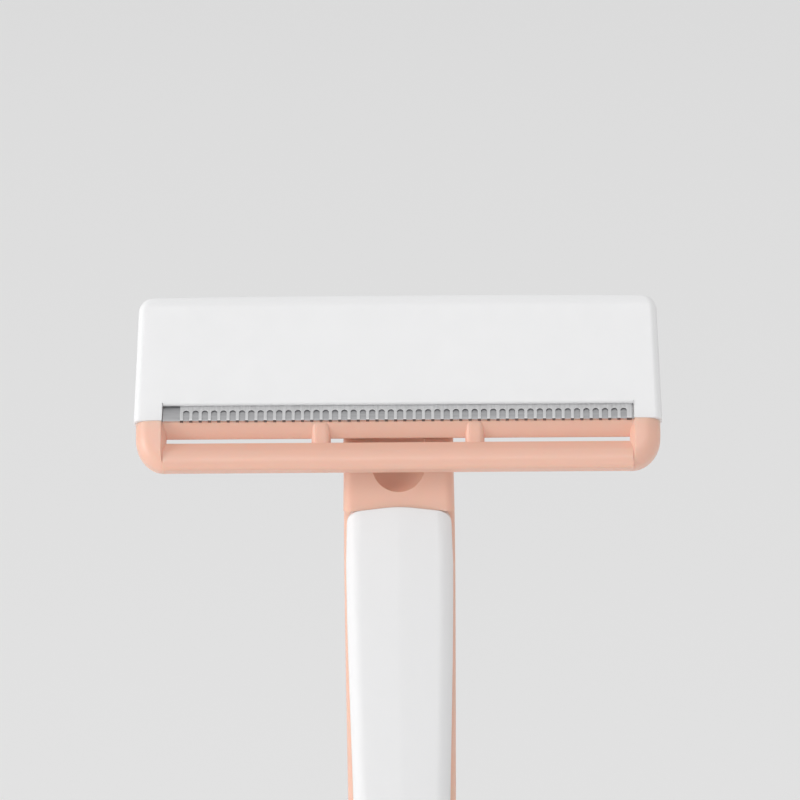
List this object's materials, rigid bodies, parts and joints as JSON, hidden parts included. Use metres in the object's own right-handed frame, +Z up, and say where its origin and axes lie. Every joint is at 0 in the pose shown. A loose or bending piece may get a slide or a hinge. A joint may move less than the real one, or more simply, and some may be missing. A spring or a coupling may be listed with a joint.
{
  "type": "razor",
  "caption": "Wet shaving razor with a wide tilting cartridge head, steel comb guard over the blade, slotted guard bar and a slim two-tone handle with a thumb release.",
  "frame": {"origin": "centre of the flat end face of the handle", "axes": "+Z up the handle to the head, -Y out of the shaving side, +X along the blade to the viewer's right"},
  "size_m": [0.0426, 0.0114, 0.1307],
  "materials": {
    "pink_plastic": "satin moulded",
    "white_plastic": "satin moulded",
    "blade_steel": "ground",
    "fastener_steel": "drawn",
    "cast_zinc": "cast",
    "natural_acetal": "moulded"
  },
  "bodies": {
    "handle": {"handle_core": "pink_plastic", "front_cover": "white_plastic", "rear_cover": "pink_plastic", "cover_screws": "fastener_steel", "dock_block": "cast_zinc", "dock_screw": "fastener_steel", "spring_plug": "natural_acetal", "plunger_spring": "fastener_steel", "release_spring": "fastener_steel"},
    "cartridge_dock": {"connector": "pink_plastic", "pivot_pins": "fastener_steel"},
    "cartridge_head": {"head_cap": "white_plastic", "blade_frame": "pink_plastic", "razor_blade": "blade_steel", "comb_guard": "blade_steel"},
    "release": {"release_slider": "white_plastic", "ejector_fork": "natural_acetal"},
    "plunger": {"return_plunger": "natural_acetal"}
  },
  "joints": [
    {"name": "cartridge_release", "type": "slide", "parent": "handle", "child": "cartridge_dock", "axis": [0, 0, 1], "range_m": [0, 0.003], "stiffness_N_per_m": 150, "springref_m": -0.003},
    {"name": "release_slide", "type": "slide", "parent": "handle", "child": "release", "axis": [0, 0, 1], "range_m": [0, 0.003], "deforming": ["release_spring"]},
    {"name": "head_pivot", "type": "hinge", "parent": "cartridge_dock", "child": "cartridge_head", "pos_m": [0, -0.0012, 0.1209], "axis": [-1, 0, 0], "range_deg": [0, 35], "stiffness_Nm_per_rad": 0.006, "springref_deg": -20.05},
    {"name": "plunger_slide", "type": "slide", "parent": "handle", "child": "plunger", "axis": [0, 0, -1], "range_m": [0, 0.0016], "deforming": ["plunger_spring"]}
  ],
  "couplings": [
    {"joint": "release_slide", "follows": "cartridge_release", "ratio": 1},
    {"joint": "plunger_slide", "follows": "head_pivot", "m_per_rad": 0.002542}
  ]
}
